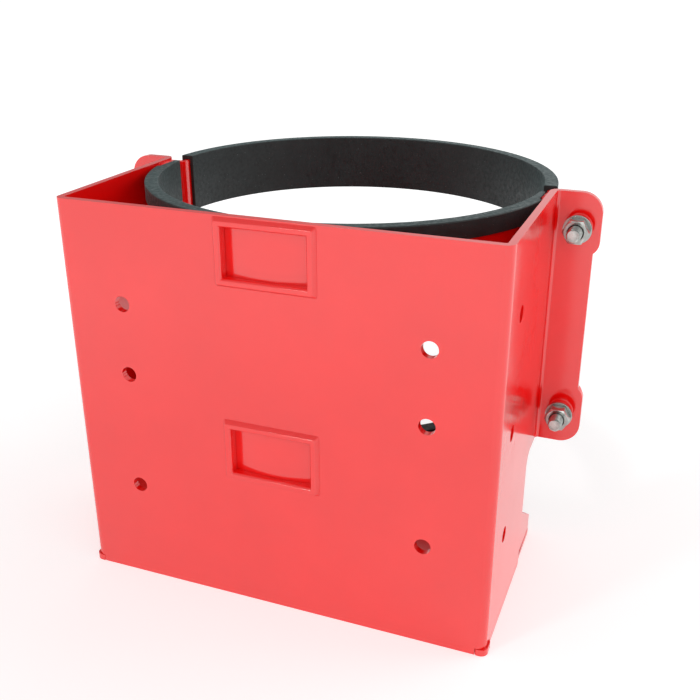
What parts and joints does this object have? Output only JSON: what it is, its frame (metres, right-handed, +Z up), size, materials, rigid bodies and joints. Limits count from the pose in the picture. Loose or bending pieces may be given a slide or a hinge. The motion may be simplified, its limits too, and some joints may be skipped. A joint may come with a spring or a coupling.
{
  "type": "split clamp cradle bracket",
  "caption": "Folded sheet cradle bracket on a base plate, with upper and lower rubber-lined split ring clamps that hold an upright cylinder behind its front panel.",
  "frame": {"origin": "centre of the base plate's underside", "axes": "+Z up along the clamp axis, -Y out of the front panel, +X across the width"},
  "size_m": [0.446, 0.3665, 0.345],
  "materials": {
    "red_powder_coat": "glossy powder coat",
    "black_rubber": "matt moulded",
    "zinc_steel": "bright zinc plated"
  },
  "bodies": {
    "frame": {"folded_body": "red_powder_coat", "base_plate": "red_powder_coat", "tube_stub_upper": "red_powder_coat", "front_band_upper": "red_powder_coat", "front_rubber_upper": "black_rubber", "tube_stub_lower": "red_powder_coat", "front_band_lower": "red_powder_coat", "front_rubber_lower": "black_rubber", "boss_upper_left": "red_powder_coat", "front_washer_upper_left": "zinc_steel", "boss_upper_right": "red_powder_coat", "front_washer_upper_right": "zinc_steel", "boss_lower_left": "red_powder_coat", "front_washer_lower_left": "zinc_steel", "boss_lower_right": "red_powder_coat", "front_washer_lower_right": "zinc_steel"},
    "upper_clamp": {"rear_band_upper": "red_powder_coat", "rear_rubber_upper": "black_rubber", "bolt_upper_left": "zinc_steel", "rear_washer_upper_left": "zinc_steel", "bolt_upper_right": "zinc_steel", "rear_washer_upper_right": "zinc_steel"},
    "upper_left_nut": {"nut_upper_left": "zinc_steel"},
    "upper_right_nut": {"nut_upper_right": "zinc_steel"},
    "lower_clamp": {"rear_band_lower": "red_powder_coat", "rear_rubber_lower": "black_rubber", "bolt_lower_left": "zinc_steel", "rear_washer_lower_left": "zinc_steel", "bolt_lower_right": "zinc_steel", "rear_washer_lower_right": "zinc_steel"},
    "lower_left_nut": {"nut_lower_left": "zinc_steel"},
    "lower_right_nut": {"nut_lower_right": "zinc_steel"}
  },
  "joints": [
    {"name": "upper_clamp_slide", "type": "slide", "parent": "frame", "child": "upper_clamp", "axis": [0, 1, 0], "range_m": [-0.005, 0.01]},
    {"name": "upper_left_nut_turn", "type": "hinge", "parent": "frame", "child": "upper_left_nut", "pos_m": [-0.205, 0, 0.3165], "axis": [0, 1, 0], "range_deg": [-1030, 2059]},
    {"name": "upper_right_nut_turn", "type": "hinge", "parent": "frame", "child": "upper_right_nut", "pos_m": [0.205, 0, 0.3165], "axis": [0, 1, 0], "range_deg": [-1030, 2059]},
    {"name": "lower_clamp_slide", "type": "slide", "parent": "frame", "child": "lower_clamp", "axis": [0, 1, 0], "range_m": [-0.005, 0.01]},
    {"name": "lower_left_nut_turn", "type": "hinge", "parent": "frame", "child": "lower_left_nut", "pos_m": [-0.205, 0, 0.147], "axis": [0, 1, 0], "range_deg": [-1030, 2059]},
    {"name": "lower_right_nut_turn", "type": "hinge", "parent": "frame", "child": "lower_right_nut", "pos_m": [0.205, 0, 0.147], "axis": [0, 1, 0], "range_deg": [-1030, 2059]}
  ],
  "couplings": [
    {"joint": "upper_left_nut_turn", "follows": "upper_clamp_slide", "rad_per_m": 3590.4},
    {"joint": "upper_right_nut_turn", "follows": "upper_clamp_slide", "rad_per_m": 3590.4},
    {"joint": "lower_left_nut_turn", "follows": "lower_clamp_slide", "rad_per_m": 3590.4},
    {"joint": "lower_right_nut_turn", "follows": "lower_clamp_slide", "rad_per_m": 3590.4}
  ]
}
